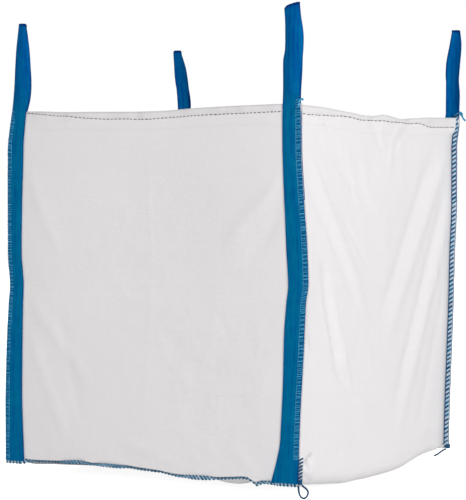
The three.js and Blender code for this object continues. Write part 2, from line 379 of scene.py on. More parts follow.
def stray(points, flare=True):
    """The points moved as the bag's corners lean; the near corner's fin also flares out at its foot."""
    x, y, z = points[..., 0], points[..., 1], points[..., 2]
    p = np.clip((x / HALF + 1) / 2, -0.05, 1.05)
    q = np.clip((y / HALF + 1) / 2, -0.05, 1.05)
    moved = points.copy()
    for (sx, sy), table in SWAY.items():
        share = (p if sx > 0 else 1 - p) * (q if sy > 0 else 1 - q)
        sway = along(table, z)
        moved[..., 0] += share * sway * SWAY_DIRECTION[0]
        moved[..., 1] += share * sway * SWAY_DIRECTION[1]
        if (sx, sy) == (-1, 1):
            moved[..., 1] += share * along(BACK_LEFT_PULL, z)
    if flare:
        at_foot = smooth((FOOT_TOP - z) / 0.03) * smooth((-0.40 - y) / 0.02)
        moved[..., 0] += FLARE * at_foot * smooth((x - CLOTH_EDGE + 0.003) / 0.003)
    return moved


# ---- Meshes ----
def mesh_object(name, points, faces, material, cloth=None):
    mesh = bpy.data.meshes.new(name)
    mesh.from_pydata(points.tolist(), [], faces)
    mesh.materials.append(material)
    if cloth is not None:
        attribute = mesh.attributes.new("cloth", "FLOAT_VECTOR", "POINT")
        attribute.data.foreach_set("vector", np.asarray(cloth, np.float32).ravel())
    mesh.shade_smooth()
    made = bpy.data.objects.new(name, mesh)
    scene.collection.objects.link(made)
    return made


def unit(vectors):
    return vectors / (np.linalg.norm(vectors, axis=-1, keepdims=True) + 1e-12)


def shell(name, grid, thickness, material, cloth):
    """A closed thin sheet through a grid of points."""
    rows, columns, _ = grid.shape
    normal = unit(np.cross(np.gradient(grid, axis=0), np.gradient(grid, axis=1)))
    half = normal * thickness / 2
    points = np.concatenate([(grid + half).reshape(-1, 3), (grid - half).reshape(-1, 3)])
    index = np.arange(rows * columns).reshape(rows, columns)
    a, b, c, d = index[:-1, :-1], index[1:, :-1], index[1:, 1:], index[:-1, 1:]
    top = np.stack([a, b, c, d], -1).reshape(-1, 4)
    under = top[:, ::-1] + rows * columns
    rim = np.concatenate([index[0, :-1], index[:-1, -1], index[-1, :0:-1], index[:0:-1, 0]])
    after = np.roll(rim, -1)
    sides = np.stack([rim, after, after + rows * columns, rim + rows * columns], -1)
    faces = np.concatenate([top, under, sides]).tolist()
    made = mesh_object(name, points, faces, material, np.concatenate([cloth.reshape(-1, 3)] * 2))
    made.data.set_sharp_from_angle(angle=math.radians(50))
    return made


def tube_rings(path, radius, sides):
    """Rings of points round a path, without twist."""
    tangent = unit(np.gradient(path, axis=0))
    helper = (0.0, 0.0, 1.0) if abs(tangent[0][2]) < 0.9 else (1.0, 0.0, 0.0)
    normal = unit(np.cross(tangent[0], helper))
    turns = np.linspace(0, 2 * math.pi, sides, endpoint=False)
    cosine, sine = np.cos(turns)[:, None], np.sin(turns)[:, None]
    rings = []
    for centre, forward in zip(path, tangent):
        normal = unit(normal - forward * (normal @ forward))
        rings.append(centre + radius * (cosine * normal + sine * np.cross(forward, normal)))
    return np.array(rings)


def tubes(name, paths, radius, material, sides=6, second=None):
    """One mesh of closed round threads, one for each path; every third may have a second material."""
    points, faces, surface, count = [], [], [], 0
    for number, path in enumerate(paths):
        rings = tube_rings(path, radius, sides)
        steps = len(rings)
        index = count + np.arange(steps * sides).reshape(steps, sides)
        beside = np.roll(index, -1, axis=1)
        quads = np.stack([index[:-1], beside[:-1], beside[1:], index[1:]], -1).reshape(-1, 4)
        points.append(rings.reshape(-1, 3))
        faces += quads.tolist()
        faces.append(index[0][::-1].tolist())
        faces.append(index[-1].tolist())
        surface += [int(number % 3 == 2)] * (len(quads) + 2)
        count += steps * sides
    made = mesh_object(name, np.concatenate(points), faces, material)
    if second is not None:
        made.data.materials.append(second)
        made.data.polygons.foreach_set("material_index", surface)
    return made


def spline(points, steps):
    """Points evenly spaced by parameter on a smooth curve through the given ones."""
    known = np.array(points, float)
    ends = np.vstack([2 * known[0] - known[1], known, 2 * known[-1] - known[-2]])
    t = np.linspace(0, len(known) - 1, steps)
    i = np.minimum(t.astype(int), len(known) - 2)
    s = (t - i)[:, None]
    p0, p1, p2, p3 = ends[i], ends[i + 1], ends[i + 2], ends[i + 3]
    return 0.5 * (2 * p1 + (p2 - p0) * s + (2 * p0 - 5 * p1 + 4 * p2 - p3) * s**2
                  + (3 * p1 - p0 - 3 * p2 + p3) * s**3)


# ---- Thread tails: chained thread left at the ends of the overlock seams ----
TAILS = {
    "front_right_bottom": ("object", [
        (0.4596, -0.4511, 0.0354), (0.4604, -0.4506, 0.029), (0.461, -0.4502, 0.0216),
        (0.4625, -0.4493, 0.0141), (0.4665, -0.4469, 0.007), (0.4719, -0.4437, 0.0044),
        (0.477, -0.4407, 0.0074), (0.4806, -0.4385, 0.0146), (0.4808, -0.4384, 0.0212),
        (0.4776, -0.4403, 0.0274), (0.472, -0.4436, 0.0329), (0.4678, -0.4462, 0.037),
    ]),
    "back_right_bottom": ("bare", [
        (0.452, 0.4486, 0.0352), (0.4465, 0.4449, 0.0332), (0.4404, 0.4413, 0.0286),
        (0.4329, 0.4368, 0.0221), (0.428, 0.434, 0.019), (0.423, 0.4309, 0.0169),
    ]),
    "front_right_top": ("bare", [
        (0.4658, -0.4516, 0.9994), (0.4672, -0.457, 1.001), (0.4668, -0.463, 0.9992),
        (0.4662, -0.4682, 0.9956), (0.466, -0.4718, 0.9904), (0.466, -0.4726, 0.9836),
    ]),
    "back_right_top": ("bare", [
        (0.4658, 0.4475, 0.996), (0.4666, 0.441, 0.999), (0.4654, 0.4356, 1.003),
        (0.4686, 0.4334, 1.0054), (0.4724, 0.4364, 1.0014), (0.4722, 0.44, 0.9935),
        (0.4726, 0.4445, 0.988), (0.4744, 0.4496, 0.984), (0.476, 0.4534, 0.9815),
    ]),
}


def thread_tail(name, far_end, route):
    """Three yarns chained round each other along the route."""
    path = stray(spline(route, 90), flare=False)
    reach = distances(path)
    tangent = unit(np.gradient(path, axis=0))
    side = unit(np.cross(tangent, [0.35, 0.9, 0.1]))
    up = np.cross(tangent, side)
    turn = 2 * math.pi * reach / CHAIN_PITCH
    yarns = []
    for phase in (0, 2 * math.pi / 3, 4 * math.pi / 3):
        swing = np.cos(turn + phase)[:, None] * side + np.sin(turn + phase)[:, None] * up
        yarns.append(path + swing * TAIL_DIAMETER * 0.245)
    pair = (LOOPER_MATERIAL, FINE_MATERIAL) if name.endswith("top") else (TAIL_MATERIAL, YARN_MATERIAL)
    made = tubes("chained_tail_" + name, yarns, TAIL_DIAMETER * 0.29, pair[0], 7, pair[1])
    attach(made, "bag")
    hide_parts("thread_tail_" + name)
    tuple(path[0])


for tail_name, (tail_end, tail_route) in TAILS.items():
    thread_tail(tail_name, tail_end, tail_route)


# ---- Forms of the cloth ----
def lean(z):
    rise = np.clip((z - SEAM_Z) / (HEM_Z - SEAM_Z), 0, 1)
    return np.sin(0.75 * math.pi * rise)


# Top edges: position along the side, height, and how far below it the hem's stitches run.
FRONT_HEM = [
    (-0.4615, 0.9895, 0.002), (-0.405, 0.9902, 0.003), (-0.365, 0.989, 0.0055), (-0.331, 0.9876, 0.0076),
    (-0.275, 0.9852, 0.0091), (-0.234, 0.9846, 0.0126), (-0.179, 0.9838, 0.0165), (-0.14, 0.983, 0.0177),
    (-0.085, 0.9818, 0.0171), (-0.03, 0.981, 0.0186), (-0.005, 0.9808, 0.0188), (0.025, 0.9811, 0.0169),
    (0.089, 0.9833, 0.0172), (0.152, 0.9858, 0.0176), (0.323, 0.9884, 0.0174), (0.4615, 0.9895, 0.0175),
]
BACK_HEM = [
    (-0.4615, 0.988, 0.019), (-0.3, 0.986, 0.018), (-0.1, 0.9815, 0.017), (0.07, 0.978, 0.0165),
    (0.2, 0.98, 0.018), (0.34, 0.9855, 0.0175), (0.4615, 0.988, 0.019),
]
RIGHT_HEM = [
    (-0.4455, 0.987, 0.0198), (-0.408, 0.9865, 0.0198), (-0.386, 0.9863, 0.0204),
    (-0.318, 0.9852, 0.0185), (-0.248, 0.9828, 0.0155), (-0.202, 0.9806, 0.0117), (-0.156, 0.9783, 0.011),
    (-0.11, 0.9756, 0.0118), (-0.086, 0.9746, 0.011), (-0.035, 0.9743, 0.01), (0.01, 0.9786, 0.013),
    (0.03, 0.9804, 0.0145), (0.059, 0.9788, 0.0143), (0.081, 0.9767, 0.012), (0.13, 0.9726, 0.0076),
    (0.178, 0.9757, 0.0122), (0.228, 0.979, 0.0126), (0.27, 0.9818, 0.0187), (0.294, 0.983, 0.0239),
    (0.353, 0.985, 0.026), (0.4455, 0.988, 0.025),
]
LEFT_HEM = [
    (-0.4455, 0.988, 0.018), (-0.3, 0.984, 0.0175), (-0.16, 0.977, 0.016), (-0.05, 0.9755, 0.017),
    (0.04, 0.9785, 0.0155), (0.12, 0.9765, 0.017), (0.3, 0.984, 0.0185), (0.4455, 0.988, 0.019),
]


def panel_hem(x, sy):
    """(height of the top edge, depth of the stitch line below it) on the front or back panel."""
    found = along(FRONT_HEM if sy < 0 else BACK_HEM, x)
    return found[..., 0], found[..., 1]


def wall_hem(y, sx):
    """The same on the right or left wall."""
    found = along(RIGHT_HEM if sx > 0 else LEFT_HEM, y)
    return found[..., 0], found[..., 1]


# The bottom seam under the front panel: position, height of the fin's middle and how far the fin is turned
# under the bag, as an angle from hanging straight.
FRONT_SEAM = [
    (-0.4615, 0.043, 0.0), (-0.41, 0.0435, 0.1), (-0.394, 0.0465, 0.9), (-0.36, 0.0472, 1.2),
    (-0.313, 0.0491, 1.3), (-0.286, 0.0498, 1.2), (-0.243, 0.0525, 0.75), (-0.216, 0.0542, 0.75),
    (-0.174, 0.0513, 1.15), (-0.135, 0.0515, 0.8), (-0.093, 0.051, 0.85), (-0.067, 0.0516, 1.1),
    (-0.027, 0.0487, 1.15), (0.012, 0.0468, 1.2), (0.038, 0.0454, 1.25), (0.065, 0.0417, 1.2),
    (0.091, 0.039, 1.1), (0.115, 0.0386, 1.0), (0.142, 0.0381, 0.7), (0.168, 0.0388, 0.65),
    (0.192, 0.0394, 0.8), (0.218, 0.0402, 1.25), (0.243, 0.0424, 1.3), (0.267, 0.0445, 1.3),
    (0.293, 0.0468, 1.25), (0.308, 0.0453, 1.1), (0.318, 0.0406, 1.0), (0.333, 0.0333, 0.9),
    (0.345, 0.0381, 1.1), (0.355, 0.0399, 1.0), (0.379, 0.0403, 0.8), (0.41, 0.0405, 0.15),
    (0.4615, 0.041, 0.0),
]
BACK_SEAM = [
    (-0.4615, 0.046, 0.0), (-0.41, 0.046, 0.2), (-0.36, 0.047, 1.1), (-0.2, 0.049, 0.9),
    (0.0, 0.051, 1.2), (0.1, 0.052, 0.8), (0.22, 0.049, 1.15), (0.34, 0.048, 1.0), (0.41, 0.046, 0.2),
    (0.4615, 0.046, 0.0),
]


def bottom_fin(x, sy):
    """(height of the seam line, height of the fin's lower edge, turn) below the front or back panel."""
    found = along(FRONT_SEAM if sy < 0 else BACK_SEAM, x)
    middle, tuck = found[..., 0], found[..., 1]
    drop = FIN / 2 * np.cos(tuck)
    return middle + drop, middle - drop, tuck


FRONT_FOLDS = [
    (0.44, 0.84, 0.2, 0.62, 0.02, 0.0042), (0.43, 0.76, 0.26, 0.57, 0.018, -0.0026),
    (-0.42, 0.88, -0.28, 0.58, 0.02, 0.0016), (-0.42, 0.52, -0.17, 0.24, 0.02, 0.002),
    (-0.4, 0.42, -0.24, 0.08, 0.02, 0.0018), (-0.3, 0.48, -0.2, 0.12, 0.016, -0.0014),
    (0.2, 0.47, 0.24, 0.4, 0.009, -0.0008), (0.12, 0.36, 0.2, 0.33, 0.006, 0.001, CRISP),
    (-0.44, 0.522, 0.45, 0.543, 0.007, 0.001, CRISP), (-0.008, 0.97, -0.012, 0.04, 0.006, 0.0008, CRISP),
    (-0.1, 0.12, 0.12, 0.07, 0.018, 0.0016), (0.24, 0.14, 0.34, 0.06, 0.018, 0.001),
]
RIGHT_FOLDS = [
    (0.45, 0.94, 0.05, 0.34, 0.024, 0.0052), (0.37, 0.93, 0.01, 0.4, 0.022, -0.0046),
    (0.45, 0.85, 0.09, 0.12, 0.02, -0.0046), (0.46, 0.76, 0.12, 0.06, 0.022, 0.005),
    (0.44, 0.56, 0.26, 0.06, 0.02, -0.003), (-0.34, 0.98, -0.2, 0.86, 0.007, -0.0028, CRISP),
    (-0.28, 0.87, 0.01, 0.71, 0.012, -0.0032), (-0.22, 0.72, -0.04, 0.56, 0.01, -0.0026),
    (-0.43, 0.92, -0.02, 0.4, 0.02, 0.0044), (-0.44, 0.84, -0.1, 0.46, 0.02, -0.0038),
    (-0.345, 0.61, -0.195, 0.28, 0.022, -0.0085), (-0.365, 0.57, -0.25, 0.33, 0.006, 0.003, CRISP),
    (-0.26, 0.34, -0.1, 0.2, 0.012, -0.003), (-0.27, 0.52, -0.11, 0.2, 0.012, 0.0028),
    (-0.05, 0.98, 0.06, 0.86, 0.012, -0.0022), (0.19, 0.97, 0.08, 0.87, 0.016, -0.0016),
    (0.01, 0.96, 0.05, 0.87, 0.01, 0.0018), (0.12, 0.97, 0.07, 0.83, 0.012, 0.0018),
    (-0.412, 0.066, -0.349, 0.104, 0.009, -0.01), (-0.379, 0.09, -0.376, 0.06, 0.007, -0.006),
    (-0.418, 0.06, -0.335, 0.024, 0.011, -0.011), (-0.3, 0.12, -0.18, 0.05, 0.016, 0.003),
    (0.24, 0.11, 0.44, 0.09, 0.016, 0.004), (-0.44, 0.536, 0.44, 0.53, 0.006, 0.0012, CRISP),
]
LEFT_FOLDS = [
    (-0.44, 0.93, -0.06, 0.3, 0.024, 0.006), (-0.38, 0.94, -0.02, 0.42, 0.022, -0.0048),
    (0.44, 0.92, 0.1, 0.28, 0.024, 0.0056), (0.44, 0.78, 0.18, 0.12, 0.022, -0.0048),
    (-0.06, 0.97, 0.04, 0.82, 0.012, -0.0034), (0.12, 0.97, 0.02, 0.78, 0.012, 0.0032),
    (0.3, 0.46, 0.18, 0.2, 0.014, 0.0036), (-0.44, 0.53, 0.44, 0.537, 0.006, 0.0012, CRISP),
]
BACK_FOLDS = [
    (-0.44, 0.9, -0.16, 0.42, 0.022, 0.0046), (0.43, 0.88, 0.18, 0.36, 0.022, 0.0042),
    (-0.3, 0.46, -0.12, 0.12, 0.02, 0.0034), (0.34, 0.5, 0.26, 0.1, 0.02, -0.003),
    (-0.44, 0.54, 0.44, 0.528, 0.006, 0.0014, CRISP), (0.006, 0.97, 0.0, 0.06, 0.006, 0.001, CRISP),
]


def panel_relief(x, z, sy):
    if sy > 0:
        return folds(x, z, BACK_FOLDS) + crumple(x, z, 100, 0.7)
    worn = 0.35 * smooth((0.2 - np.hypot(x - 0.21, (z - 0.33) * 0.8)) / 0.1)
    return folds(x, z, FRONT_FOLDS) + crumple(x, z, 40, 0.42 + worn)


def wall_relief(y, z, sx):
    table, seed = (RIGHT_FOLDS, 60) if sx > 0 else (LEFT_FOLDS, 80)
    low = 0.9 * smooth((0.2 - z) / 0.15)
    return folds(y, z, table) + crumple(y, z, seed, 0.75 + low)


def hem_pucker(along_hem, below, stitch, seed):
    """Outward ripples of the doubled hem, with the stitch line drawn in."""
    near = hump(below / 0.02)
    ripple = 0.0016 * noise(along_hem, 0.0, 0.024, seed)
    ripple = ripple + 0.003 * noise(along_hem, 0.0, 0.07, seed + 1)
    groove = -0.0012 * hump((below - stitch) / 0.0028)
    doubled = 0.0011 * smooth((HEM_FOLD + 0.002 - below) / 0.004)
    return near * ripple + groove + doubled


def hem_shade(below, stitch):
    """How much darker the cloth is painted: painted shade, a little over the double hem and most along the
    fold at its top.
    """
    band = 0.34 * smooth((stitch + 0.003 - below) / 0.004)
    return np.where(below > -0.02, band + 0.7 * hump(below / 0.002), 0.0)


# Sharp creases at the near end of the right wall, drawn as shade: the same rows as a table of folds.
CREASES = [
    (-0.412, 0.074, -0.349, 0.112, 0.008, 0.85), (-0.374, 0.094, -0.371, 0.064, 0.006, 0.75),
    (-0.418, 0.068, -0.335, 0.03, 0.011, 0.75), (-0.44, 0.6, -0.405, 0.42, 0.012, 0.5),
    (-0.425, 0.47, -0.385, 0.36, 0.01, 0.4), (-0.4, 0.965, -0.16, 0.7, 0.006, 0.22, CRISP),
]

ROW_SHARES = np.concatenate([np.linspace(0, 0.93, 118)[:-1], np.linspace(0.93, 1, 22)])


def hem_rows(top, low):
    """Heights of a sheet's rows from `low` up to the top edge, closer together near the top."""
    return low + np.multiply.outer(ROW_SHARES, top - low)


def turned_hem(depth, height, distance):
    """(depth, height) of the hem turned inwards over the top edge, for each row after the top."""
    arc = np.minimum(distance / HEM_TURN, math.pi)
    down = np.maximum(distance - math.pi * HEM_TURN, 0)
    return depth - HEM_TURN * (1 - np.cos(arc)), height + HEM_TURN * np.sin(arc) - down


FOLD_DISTANCE = np.concatenate([np.linspace(0.0009, 0.0055, 6), np.linspace(0.011, HEM_FOLD, 8)])


# ---- Front and back panel ----
def panel_depth(x, z, sy):
    bow = 0.012 * np.maximum(0, 1 - (x / STRAP_INNER) ** 2) ** 2 * lean(z)
    flat = smooth((0.41 - np.abs(x)) / 0.05)
    top, stitch = panel_hem(x, sy)
    relief = panel_relief(x, z, sy) * (0.12 + 0.88 * flat) * smooth((z - FIN_Z) / 0.05)
    return PANEL_Y - bow + relief + flat * hem_pucker(x, top - z, stitch, 50 + sy)


def off_line(x, z, sy):
    """How far outwards of its flat line the panel lies; what is sewn to it lies there too."""
    return panel_depth(x, np.clip(z, SEAM_Z, HEM_Z), sy) - PANEL_Y


def panel(name, sy):
    x = np.linspace(-CLOTH_EDGE, CLOTH_EDGE, 158)
    top, stitch = panel_hem(x, sy)
    z = hem_rows(top, SEAM_Z)
    depth = panel_depth(x[None, :], z, sy)
    # The bottom fin turns about the seam line, under the bag.
    seam, _, tuck = bottom_fin(x, sy)
    z = seam + (z - SEAM_Z) * (top - seam) / (top - SEAM_Z)
    fins = np.linspace(FIN, 0.002, 6)[:, None]
    fin_z = seam - fins * np.cos(tuck)
    fin_depth = depth[0] - fins * np.sin(tuck)
    past_top = FOLD_DISTANCE[:, None]
    fold_depth, fold_z = turned_hem(depth[-1], top, past_top)
    lengths = (SEAM_Z - fins, SEAM_Z + (z - seam), HEM_Z + past_top)
    length = np.vstack([np.broadcast_to(part, (len(part), len(x))) for part in lengths])
    z = np.vstack([fin_z, z, fold_z])
    depth = np.vstack([fin_depth, depth, fold_depth])
    grid = stray(joined(x, sy * depth, z))
    cloth = joined(x, length, hem_shade(top - z, stitch))
    turned = slice(None, None, -sy)  # the faces look outwards on both panels
    made = shell(name + "_cloth", grid[:, turned], CLOTH, CLOTH_MATERIAL, cloth[:, turned])
    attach(made, "bag")
    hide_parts(name)


# ---- U-panel: right wall, base and left wall in one cloth ----
def wall_depth(y, z, sx):
    bow = 0.014 * (1 - (y / HALF) ** 2) * lean(z)
    apart = HALF - np.abs(y)
    flat = smooth(apart / 0.05)
    top, stitch = wall_hem(y, sx)
    # Close to the seams the wall is drawn in a little, and let out near the hem.
    pinch = hump(apart / 0.02) * (0.001 - 0.009 * smooth((z - 0.93) / 0.03))
    relief = wall_relief(y, z, sx) * flat * smooth((z - 0.02) / 0.05)
    return HALF - bow - pinch + relief + flat * hem_pucker(y, top - z, stitch, 70 + sx)


# Height of the base's edge below each side wall, by y: it hangs lowest towards the front.
RIGHT_EDGE = [
    (-0.445, 0.05), (-0.4, 0.034), (-0.34, 0.024), (-0.29, 0.0183), (-0.2, 0.0096), (-0.134, 0.0035),
    (-0.076, 0.0022), (-0.0075, 0.0012), (0.073, 0.0012), (0.155, 0.003), (0.197, 0.006), (0.25, 0.0157),
    (0.303, 0.0242), (0.344, 0.031), (0.382, 0.035), (0.425, 0.04), (0.445, 0.053),
]
LEFT_EDGE = [(-0.445, 0.054), (-0.36, 0.024), (-0.1, 0.007), (0.15, 0.01), (0.33, 0.028), (0.445, 0.054)]

SAG_X = 0.266  # where the base sags lowest behind the front seam


def base_height(x, y):
    seam = np.where(y < 0, bottom_fin(x, -1)[0], bottom_fin(x, 1)[0])
    middle = 0.001 + (seam - 0.001) * (1 - 0.94 * (1 - (y / HALF) ** 2))
    edge = np.where(x > 0, along(RIGHT_EDGE, y), along(LEFT_EDGE, y))
    # Near the right front corner the base hangs below the seam, just behind the fin.
    front = HALF + y
    spread = np.where(x < SAG_X, 0.086, 0.048)
    sag = 0.0168 * hump((x - SAG_X) / spread) * smooth((front - 0.014) / 0.008)
    sag = sag * hump(np.maximum(front - 0.022, 0) / 0.05)
    # Along both seams the cloth rides over the fin that is tucked under it.
    apart = HALF - np.abs(y)
    ridge = 0.0042 * smooth(apart / 0.006) * smooth((0.03 - apart) / 0.014)
    height = middle + (edge - middle) * np.abs(x / HALF) ** 3 - sag + ridge
    return np.maximum(height + 0.0008 * noise(x, y, 0.06, 91) * smooth(apart / 0.04), 0.0008)


def u_section(y):
    """(points, lengths, shade) of one section, from the right hem round the base to the left hem."""
    base_x = np.linspace(0, 1, 30)
    points, shades = [], []
    for sx in (1, -1):
        top, stitch = wall_hem(y, sx)
        radius = 0.01 + 0.024 * smooth((HALF - np.abs(y)) / 0.16)
        start = base_height(sx * HALF, y) + radius
        rows = hem_rows(top, start)
        x = wall_depth(np.full_like(rows, y), rows, sx)
        fold_x, fold_z = turned_hem(x[-1], top, FOLD_DISTANCE[::-1])
        turn = np.linspace(0, math.pi / 2, 12)[1:-1]
        arc_x = x[0] - radius * (1 - np.cos(turn))
        arc_z = start - radius * np.sin(turn)
        floor_x = (x[0] - radius) * (1 - base_x)
        floor_z = base_height(sx * floor_x, np.full_like(floor_x, y))
        floor_z += (start - radius - floor_z[0]) * (1 - base_x) ** 4
        side_x = np.concatenate([fold_x, x[::-1], arc_x, floor_x])
        side_z = np.concatenate([fold_z, rows[::-1], arc_z, floor_z])
        side = joined(sx * side_x, side_z)
        shade = hem_shade(top - side_z, stitch)
        if sx > 0:
            shade = shade + folds(np.full_like(side_z, y), side_z, CREASES) * (side_x > HALF - 0.03)
        part = slice(None) if sx > 0 else slice(-2, None, -1)
        points.append(side[part])
        shades.append(shade[part])
    line = np.concatenate(points)
    return line, distances(line), np.concatenate(shades)


FLANGE_REACHES = (0.002, 0.006, 0.011, FIN)


def flange(line, sy):
    """Columns past a section at the seam: straight out from the walls, down with the tucked bottom fin."""
    x, z = line.T
    wall = smooth((z - SEAM_Z) / 0.03) * (np.abs(x) > HALF - 0.05)
    outward = np.maximum(wall, smooth((np.abs(x) - 0.43) / 0.01))
    _, low, tuck = bottom_fin(x, sy)
    columns = []
    for reach in FLANGE_REACHES:
        share = reach / FIN
        columns.append(joined(
            x + np.sign(x) * (CLOTH_EDGE - np.abs(x)) * share * outward,
            sy * (FLANGE_Y - (1 - wall) * reach * np.sin(tuck)),
            z - (1 - wall) * ((z - low) * share),
        ))
    return columns


def u_panel():
    near_seam = HALF - np.array([0.0005, 0.003, 0.006, 0.01, 0.0145, 0.018, 0.022, 0.027, 0.033])
    ys = np.concatenate([-near_seam, np.linspace(-HALF + 0.04, HALF - 0.04, 102), near_seam[::-1]])
    sections = [u_section(y) for y in ys]
    columns = [joined(line[:, 0], y, line[:, 1]) for y, (line, _, _) in zip(ys, sections)]
    cloth = [joined(y, length, shade) for y, (_, length, shade) in zip(ys, sections)]
    for sy, at in ((-1, 0), (1, -1)):
        line, length, shade = sections[at]
        beyond = flange(line, sy)
        marks = [joined(sy * (HALF + reach), length, shade) for reach in FLANGE_REACHES]
        if sy < 0:
            columns = beyond[::-1] + columns
            cloth = marks[::-1] + cloth
        else:
            columns = columns + beyond
            cloth = cloth + marks
    grid = stray(np.stack(columns, 1))
    made = shell("u_panel_cloth", grid, CLOTH, CLOTH_MATERIAL, np.stack(cloth, 1))
    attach(made, "bag")
    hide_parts("u_panel")


# ---- Webbing: outer strap, lifting loop and return leg in one length at each corner ----
# Each corner: the crown's height above the hem, half the gap between the legs below it, how far the webbing
# cups and leans outwards, and how its seam differs; then the strap's width by height, (height above the hem,
# inner edge, outer edge) of the loop counted towards the corner, and the crown's outline across its width.
CORNERS = {
    "front_right": dict(
        side=(1, -1), crown=0.2475, gap=0.0075, cup=0.010, lean_out=0.0,
        seam=dict(foot=FOOT_TOP, knot=(-0.004, 0.0045), inset=0.0038),
        width=[
            (0.04, 0.0816), (0.0656, 0.0736), (0.0965, 0.0642), (0.1474, 0.0557), (0.248, 0.0545),
            (0.424, 0.0588), (0.5, 0.0564), (0.537, 0.0577), (0.625, 0.0602), (0.75, 0.0569),
            (0.85, 0.0547), (0.988, 0.0545),
        ],
        legs=[
            (0.0, 0.4075, 0.457), (0.052, 0.4096, 0.4592), (0.107, 0.4106, 0.4665),
            (0.138, 0.417, 0.4705), (0.165, 0.4185, 0.4715), (0.19, 0.4185, 0.4695),
            (0.22, 0.4175, 0.4635), (0.25, 0.415, 0.4595),
        ],
        ridge=[(-1, -0.006), (-0.8, -0.001), (-0.3, 0.003), (0.3, 0.006), (0.8, 0.008), (1, 0.007)],
    ),
    "front_left": dict(
        side=(-1, -1), crown=0.2415, gap=0.0085, cup=0.011, lean_out=0.002, sewn_top=1.02,
        width=[
            (0.06, 0.063), (0.2, 0.057), (0.34, 0.054), (0.47, 0.049), (0.52, 0.046), (0.61, 0.046),
            (0.75, 0.049), (0.885, 0.054), (0.988, 0.05),
        ],
        legs=[
            (0.0, 0.4106, 0.4592), (0.04, 0.399, 0.4535), (0.074, 0.3955, 0.449), (0.124, 0.393, 0.4435),
            (0.18, 0.3965, 0.4375), (0.241, 0.406, 0.4285),
        ],
        ridge=[(-1, -0.002), (-0.8, 0.0), (0, 0.001), (1, 0.001)],
    ),
    "back_left": dict(
        side=(-1, 1), crown=0.229, gap=0.010, cup=0.008, lean_out=-0.004,
        width=[(0.06, 0.066), (0.3, 0.06), (0.988, 0.056)],
        legs=[
            (0.0, 0.4085, 0.4515), (0.058, 0.4095, 0.4495), (0.11, 0.4095, 0.4515),
            (0.16, 0.4145, 0.4555), (0.2, 0.4245, 0.457), (0.228, 0.4335, 0.459),
        ],
        ridge=[(-1, -0.004), (-0.5, 0.001), (0.7, 0.001), (1, -0.002)],
    ),
    "back_right": dict(
        side=(1, 1), crown=0.254, gap=0.008, cup=0.009, lean_out=0.003,
        seam=dict(reach=0.0105, knot=(0.002, 0.0062)),
        width=[(0.06, 0.068), (0.3, 0.06), (0.988, 0.054)],
        legs=[
            (0.0, 0.4185, 0.4566), (0.0527, 0.419, 0.4575), (0.1157, 0.421, 0.459), (0.15, 0.4225, 0.462),
            (0.21, 0.4325, 0.4662), (0.252, 0.4403, 0.4625),
        ],
        ridge=[(-1, 0.001), (0, 0.001), (0.8, 0.0), (1, -0.002)],
    ),
}
ACROSS = np.linspace(-1, 1, 17)


def strap_edges(corner, z):
    """(inner edge, outer edge) towards the corner at height z, on the strap and up the loop."""
    height = z - HEM_Z
    width = along(corner["width"], z)
    on_strap = joined(FIN_EDGE - width, FIN_EDGE - 0.0014)
    on_loop = along(corner["legs"], height)
    share = smooth((height + 0.03) / 0.045)[..., None]
    return on_strap * (1 - share) + on_loop * share


def webbing_line(corner):
    """Stations of one webbing from its bottom end over the crown to its return end.

    Gives the height, half the distance between the legs, the leg (+1 outer, -1 inner, 0 on the crown's
    top) and the share of the way up to the crown."""
    crown_z = HEM_Z + corner["crown"] - WEB / 2
    gap = corner["gap"]
    turn_z = crown_z - gap
    up = np.concatenate([np.arange(SEAM_Z - 0.009, HEM_Z, 0.007), np.linspace(HEM_Z, turn_z, 42)])
    down = np.concatenate([np.linspace(turn_z, HEM_Z, 42), np.arange(HEM_Z - 0.007, STRAP_END_Z, -0.007)])
    turn = np.linspace(0, math.pi, 15)[1:-1]
    height = np.concatenate([up, turn_z + gap * np.sin(turn), down])
    leg = np.concatenate([np.ones(len(up)), np.cos(turn), -np.ones(len(down))])
    opening = LEG_GAP + (gap - LEG_GAP) * smooth((height - HEM_Z - 0.02) / (turn_z - HEM_Z - 0.08))
    return height, opening, leg, smooth((height - HEM_Z) / (turn_z - HEM_Z))


